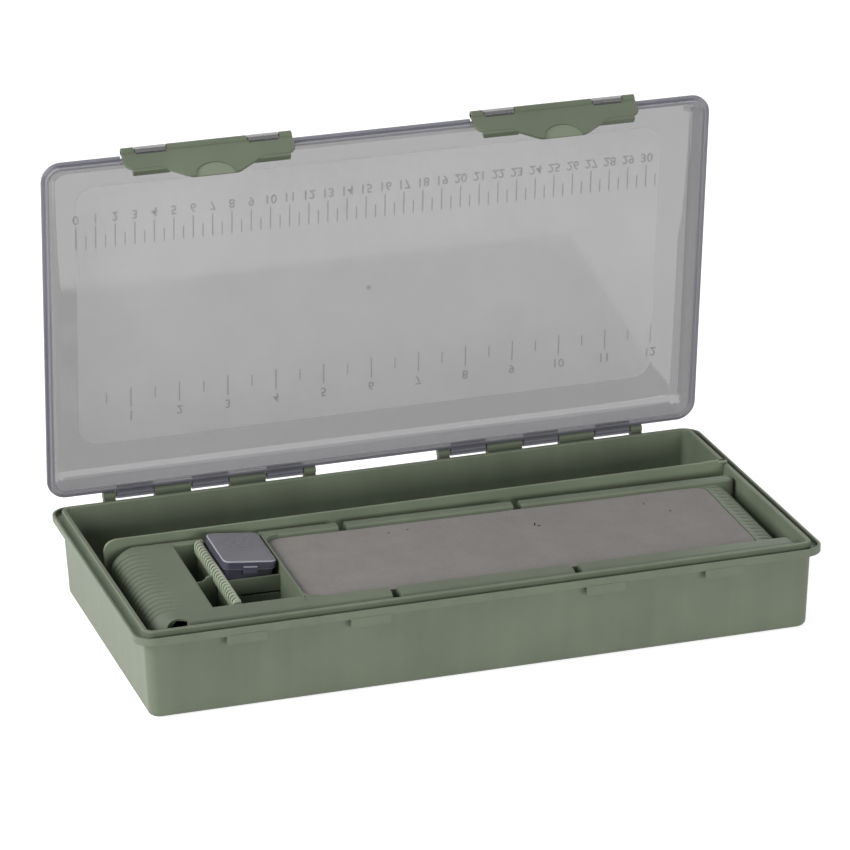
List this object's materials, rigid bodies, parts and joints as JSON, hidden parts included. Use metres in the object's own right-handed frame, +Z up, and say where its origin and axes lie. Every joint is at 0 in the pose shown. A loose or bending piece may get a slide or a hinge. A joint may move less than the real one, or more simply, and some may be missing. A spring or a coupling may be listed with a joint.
{
  "type": "tackle box",
  "caption": "Flat tackle box with a clear ruled lid on a back hinge, front latches, a lift-out rig tray with a foam board, a long divider and a small clear box.",
  "frame": {"origin": "middle of the base's flat underside", "axes": "+X along the long side towards the viewer's right, +Y towards the hinge, +Z up"},
  "size_m": [0.3488, 0.1952, 0.2347],
  "materials": {
    "base_green": "satin",
    "pin_green": "satin",
    "lid_clear": "smoky clear, frosted in the middle",
    "latch_green": "satin",
    "divider_green": "satin",
    "tray_green": "satin",
    "foam_grey": "fine closed-cell foam",
    "comb_green": "satin",
    "bit_box_smoke": "smoky clear",
    "bit_lid_smoke": "smoky clear"
  },
  "bodies": {
    "base": {"base_tray": "base_green", "hinge_pin_left": "pin_green", "hinge_pin_right": "pin_green"},
    "lid": {"lid_shell": "lid_clear", "latch_pin_left": "pin_green", "latch_pin_right": "pin_green"},
    "latch_left": {"latch_left": "latch_green"},
    "latch_right": {"latch_right": "latch_green"},
    "divider": {"long_divider": "divider_green"},
    "tray": {"rig_tray": "tray_green", "foam_board": "foam_grey", "thread_comb": "comb_green"},
    "bit_box": {"bit_box_body": "bit_box_smoke"},
    "bit_box_cover": {"bit_box_lid": "bit_lid_smoke"}
  },
  "joints": [
    {"name": "lid_hinge", "type": "hinge", "parent": "base", "child": "lid", "pos_m": [0, 0.0947, 0.0457], "axis": [-1, 0, 0], "range_deg": [-83.1, 20]},
    {"name": "latch_left_hinge", "type": "hinge", "parent": "lid", "child": "latch_left", "pos_m": [-0.0902, 0.07258, 0.2327], "axis": [1, 0, 0], "range_deg": [-34.08, 8.21]},
    {"name": "latch_right_hinge", "type": "hinge", "parent": "lid", "child": "latch_right", "pos_m": [0.0902, 0.07258, 0.2327], "axis": [1, 0, 0], "range_deg": [-34.08, 8.21]},
    {"name": "divider_lift", "type": "slide", "parent": "base", "child": "divider", "axis": [0, 0, 1], "range_m": [0, 0.06]},
    {"name": "tray_lift", "type": "slide", "parent": "base", "child": "tray", "axis": [0, 0, 1], "range_m": [0, 0.06]},
    {"name": "bit_box_lift", "type": "slide", "parent": "tray", "child": "bit_box", "axis": [0, 0, 1], "range_m": [0, 0.03]},
    {"name": "bit_box_hinge", "type": "hinge", "parent": "bit_box", "child": "bit_box_cover", "pos_m": [-0.09775, 0.02399, 0.04182], "axis": [-0.9946, 0.0243, 0.1011], "range_deg": [0, 92]}
  ],
  "couplings": [
    {"joint": "latch_left_hinge", "follows": "lid_hinge", "ratio": 0.41},
    {"joint": "latch_right_hinge", "follows": "lid_hinge", "ratio": 0.41}
  ]
}
